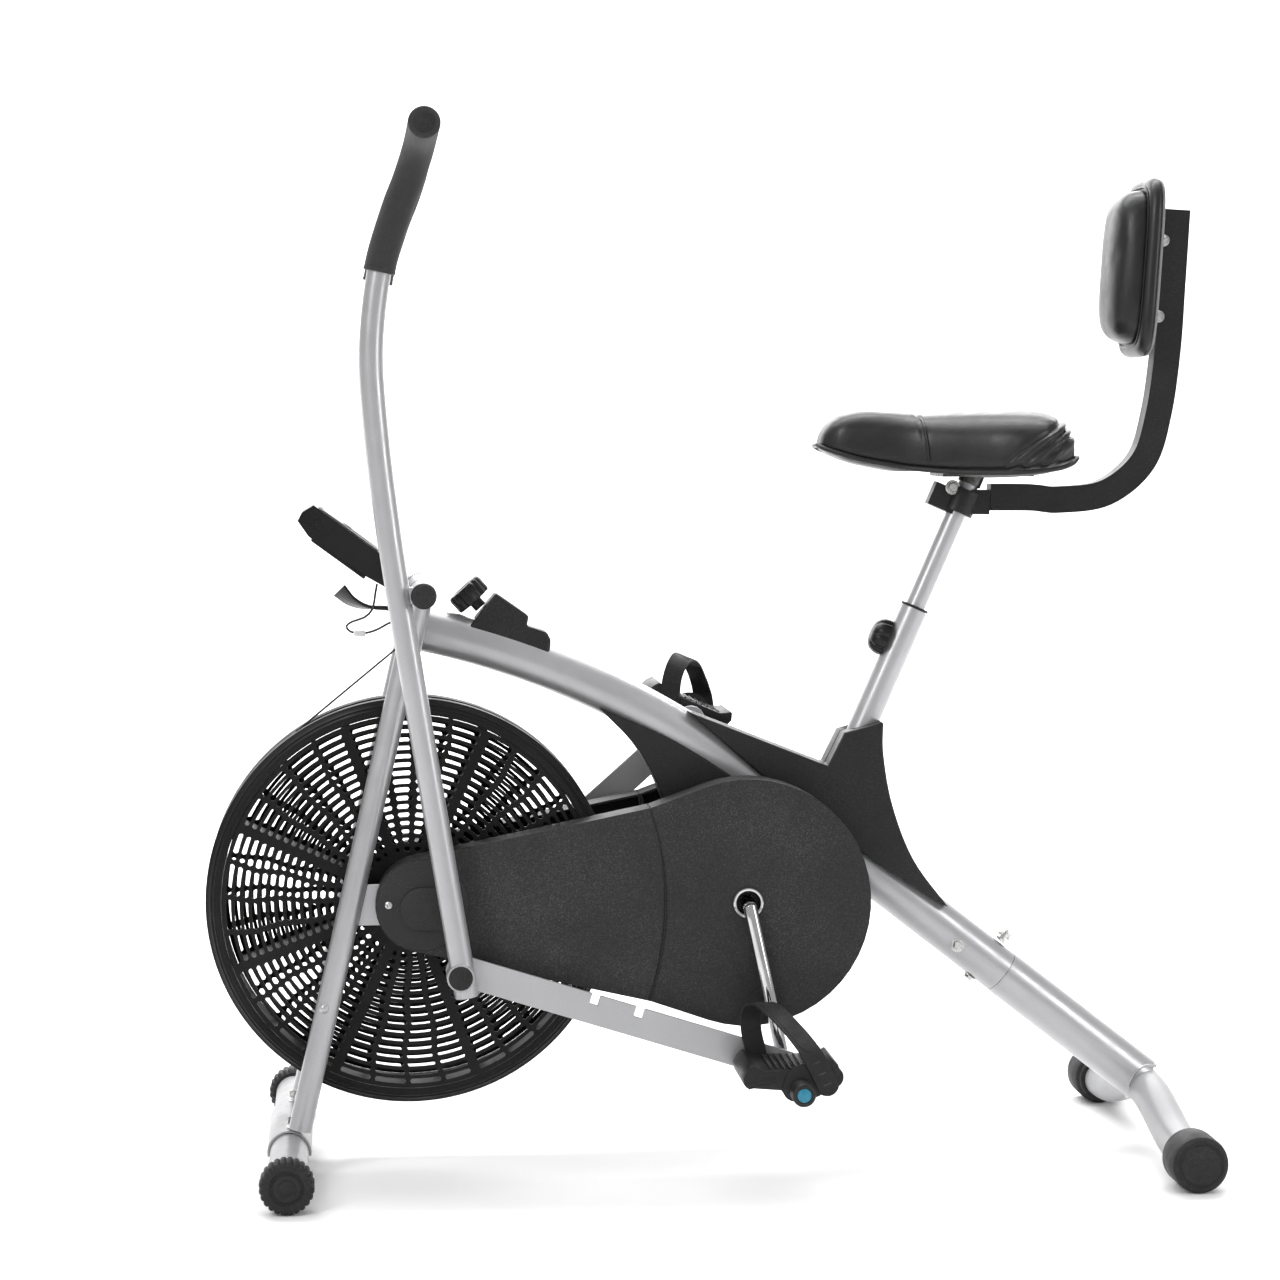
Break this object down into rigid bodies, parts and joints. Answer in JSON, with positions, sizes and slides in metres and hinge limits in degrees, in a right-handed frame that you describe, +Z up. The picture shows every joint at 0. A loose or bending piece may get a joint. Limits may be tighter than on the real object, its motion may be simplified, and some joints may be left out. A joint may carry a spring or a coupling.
{
  "type": "air bike",
  "caption": "Upright air bike with a caged fan wheel, moving handle levers linked to the pedals, chain covers and an adjustable saddle with backrest.",
  "frame": {"origin": "on the floor under the middle of the bike's bounding box", "axes": "+X towards the rear of the bike, the fan is at -X; -Y is the rider's left side; +Z up"},
  "size_m": [1.0733, 0.4992, 1.1156],
  "materials": {
    "black_paint": "satin black powder coat",
    "black_plastic": "fine grain",
    "black_rubber": "moulded",
    "black_vinyl": "synthetic leather, soft gloss",
    "cable_jacket": "smooth cable jacket",
    "chrome": "polished",
    "dark_steel": "oiled",
    "friction_belt": "woven friction belt",
    "grip_foam": "foam with open cells",
    "silver_paint": "satin silver powder coat"
  },
  "bodies": {
    "frame": {"main_tube": "silver_paint", "rear_tube": "silver_paint", "rear_stabiliser": "silver_paint", "rear_cap_left": "black_rubber", "rear_cap_right": "black_rubber", "head_tube": "silver_paint", "fork_leg_left": "silver_paint", "fork_leg_right": "silver_paint", "axle_bracket_left": "silver_paint", "axle_bracket_right": "silver_paint", "front_saddle": "silver_paint", "front_stabiliser": "silver_paint", "seat_tube": "silver_paint", "seat_bushing": "black_plastic", "bottom_bracket": "silver_paint", "lower_guard": "black_plastic", "shroud_left": "black_plastic", "shroud_right": "black_plastic", "cover_front_left": "black_plastic", "cover_front_right": "black_plastic", "cover_rear_left": "black_plastic", "cover_rear_right": "black_plastic", "tension_housing": "black_plastic", "fan_axle": "dark_steel", "brake_belt": "friction_belt", "brake_cable": "cable_jacket", "chain": "dark_steel", "console_case": "black_plastic", "console_bracket": "black_paint", "console_wire": "cable_jacket"},
    "fan": {"fan_disc_left": "black_plastic", "fan_disc_right": "black_plastic", "fan_rim": "black_plastic", "fan_blades": "black_plastic", "freewheel": "dark_steel"},
    "crankset": {"crank": "chrome", "chainring": "dark_steel"},
    "link_left": {"link_bar_left": "silver_paint"},
    "link_right": {"link_bar_right": "silver_paint"},
    "arm_left": {"lever_left": "silver_paint", "grip_left": "grip_foam", "pivot_cap_left": "black_rubber"},
    "arm_right": {"lever_right": "silver_paint", "grip_right": "grip_foam", "pivot_cap_right": "black_rubber"},
    "step_left": {"pedal_left": "black_plastic", "pedal_strap_left": "black_rubber"},
    "step_right": {"pedal_right": "black_plastic", "pedal_strap_right": "black_rubber"},
    "seat": {"seat_post": "silver_paint", "saddle_pan": "dark_steel", "saddle_pad": "black_vinyl", "backrest_clamp": "black_paint", "backrest_post": "black_paint", "backrest_pad": "black_vinyl"},
    "seat_clamp": {"seat_knob": "black_plastic"},
    "tension": {"tension_knob": "black_plastic"},
    "button": {"console_button": "black_rubber"},
    "wheel_left": {"front_wheel_left": "black_rubber"},
    "wheel_right": {"front_wheel_right": "black_rubber"}
  },
  "joints": [
    {"name": "crank_spin", "type": "hinge", "parent": "frame", "child": "crankset", "pos_m": [0.0425, 0, 0.288], "axis": [0, -1, 0], "continuous": true},
    {"name": "fan_spin", "type": "hinge", "parent": "frame", "child": "fan", "pos_m": [-0.317, 0, 0.288], "axis": [0, -1, 0], "continuous": true},
    {"name": "link_left_pin", "type": "hinge", "parent": "crankset", "child": "link_left", "pos_m": [0.08054, -0.1114, 0.11207], "axis": [0, -1, 0], "continuous": true},
    {"name": "link_right_pin", "type": "hinge", "parent": "crankset", "child": "link_right", "pos_m": [0.00446, 0.1114, 0.46393], "axis": [0, -1, 0], "continuous": true},
    {"name": "pedal_left_spin", "type": "hinge", "parent": "crankset", "child": "step_left", "pos_m": [0.08054, -0.1715, 0.11207], "axis": [0, -1, 0], "continuous": true},
    {"name": "pedal_right_spin", "type": "hinge", "parent": "crankset", "child": "step_right", "pos_m": [0.00446, 0.1715, 0.46393], "axis": [0, -1, 0], "continuous": true},
    {"name": "lever_left_swing", "type": "hinge", "parent": "frame", "child": "arm_left", "pos_m": [-0.303, -0.105, 0.622], "axis": [0, -1, 0], "range_deg": [-27, 27]},
    {"name": "lever_right_swing", "type": "hinge", "parent": "frame", "child": "arm_right", "pos_m": [-0.303, 0.105, 0.622], "axis": [0, -1, 0], "range_deg": [-27, 27]},
    {"name": "seat_slide", "type": "slide", "parent": "frame", "child": "seat", "axis": [0.4035, 0, 0.915], "range_m": [-0.06, 0.06]},
    {"name": "seat_knob_turn", "type": "hinge", "parent": "frame", "child": "seat_clamp", "pos_m": [0.2191, 0, 0.5586], "axis": [-0.915, 0, 0.4035], "range_deg": [0, 720]},
    {"name": "tension_knob_turn", "type": "hinge", "parent": "frame", "child": "tension", "pos_m": [-0.2369, 0, 0.6006], "axis": [-0.6723, 0, 0.7403], "range_deg": [0, 1080]},
    {"name": "console_button_press", "type": "slide", "parent": "frame", "child": "button", "axis": [-0.5933, 0, -0.805], "range_m": [0, 0.0015], "stiffness_N_per_m": 300, "springref_m": -0.001},
    {"name": "wheel_left_spin", "type": "hinge", "parent": "frame", "child": "wheel_left", "pos_m": [-0.448, -0.2338, 0.0285], "axis": [0, -1, 0], "continuous": true},
    {"name": "wheel_right_spin", "type": "hinge", "parent": "frame", "child": "wheel_right", "pos_m": [-0.448, 0.2338, 0.0285], "axis": [0, -1, 0], "continuous": true}
  ],
  "couplings": [
    {"joint": "fan_spin", "follows": "crank_spin", "ratio": 3.148},
    {"joint": "link_left_pin", "follows": "crank_spin", "ratio": -1},
    {"joint": "link_right_pin", "follows": "crank_spin", "ratio": -1},
    {"joint": "lever_right_swing", "follows": "lever_left_swing", "ratio": -1}
  ]
}
